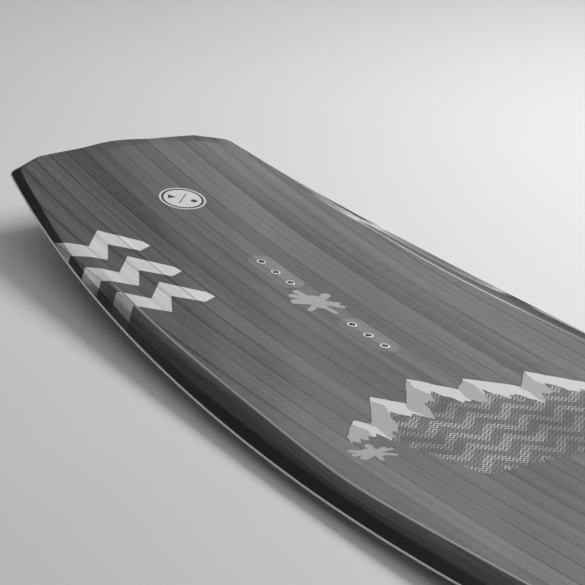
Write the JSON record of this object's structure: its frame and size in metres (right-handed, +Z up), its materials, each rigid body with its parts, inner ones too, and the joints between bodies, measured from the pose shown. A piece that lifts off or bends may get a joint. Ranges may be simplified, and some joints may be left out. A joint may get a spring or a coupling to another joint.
{
  "type": "wakeboard",
  "caption": "Twin-tip wakeboard of cap construction with a rockered, bevelled deck, threaded binding inserts, a wood-strip core and a small centre fin under each tip.",
  "frame": {"origin": "on the ground under the board's centre, where the flat spot of the base rests", "axes": "+X along the board towards its nose, +Y across it to its left side, +Z up out of the deck"},
  "size_m": [1.4072, 0.432, 0.0802],
  "materials": {
    "topsheet": "clear gloss sheet over stained grey wood strips, with pale graphics",
    "patch_cloth": "coarse glass cloth under clear resin",
    "glass_laminate": "glass cloth in clear epoxy",
    "stringer_wood": "planed beech",
    "core_wood": "planed paulownia strips",
    "edge_urethane": "cast satin urethane",
    "tip_spacer": "moulded plastic",
    "base_sheet": "sintered base, fine lengthwise texture, satin gloss",
    "insert_steel": "turned stainless steel",
    "fin_nylon": "moulded glass-filled nylon",
    "screw_steel": "stainless steel",
    "fin_insert_brass": "turned brass"
  },
  "bodies": {
    "root": {"topsheet": "topsheet", "insert_patch_nose_inner": "patch_cloth", "insert_patch_nose_outer": "patch_cloth", "insert_patch_tail_inner": "patch_cloth", "insert_patch_tail_outer": "patch_cloth", "top_laminate": "glass_laminate", "core_stringer": "stringer_wood", "core_strip_left_1": "core_wood", "core_strip_left_2": "core_wood", "core_strip_left_3": "core_wood", "core_strip_left_4": "core_wood", "core_strip_left_5": "core_wood", "core_strip_left_6": "core_wood", "core_strip_left_7": "core_wood", "core_strip_left_8": "core_wood", "core_strip_left_9": "core_wood", "core_strip_right_1": "core_wood", "core_strip_right_2": "core_wood", "core_strip_right_3": "core_wood", "core_strip_right_4": "core_wood", "core_strip_right_5": "core_wood", "core_strip_right_6": "core_wood", "core_strip_right_7": "core_wood", "core_strip_right_8": "core_wood", "core_strip_right_9": "core_wood", "edge_rail_left": "edge_urethane", "edge_rail_right": "edge_urethane", "tip_spacer_nose": "tip_spacer", "tip_spacer_tail": "tip_spacer", "bottom_laminate": "glass_laminate", "base_sheet": "base_sheet", "insert_nose_inner_1": "insert_steel", "insert_nose_inner_2": "insert_steel", "insert_nose_inner_3": "insert_steel", "insert_nose_outer_1": "insert_steel", "insert_nose_outer_2": "insert_steel", "insert_nose_outer_3": "insert_steel", "insert_tail_inner_1": "insert_steel", "insert_tail_inner_2": "insert_steel", "insert_tail_inner_3": "insert_steel", "insert_tail_outer_1": "insert_steel", "insert_tail_outer_2": "insert_steel", "insert_tail_outer_3": "insert_steel", "fin_nose": "fin_nylon", "fin_tail": "fin_nylon", "fin_screw_nose_inner": "screw_steel", "fin_screw_nose_outer": "screw_steel", "fin_screw_tail_inner": "screw_steel", "fin_screw_tail_outer": "screw_steel", "fin_insert_nose_inner": "fin_insert_brass", "fin_insert_nose_outer": "fin_insert_brass", "fin_insert_tail_inner": "fin_insert_brass", "fin_insert_tail_outer": "fin_insert_brass"}
  },
  "joints": []
}
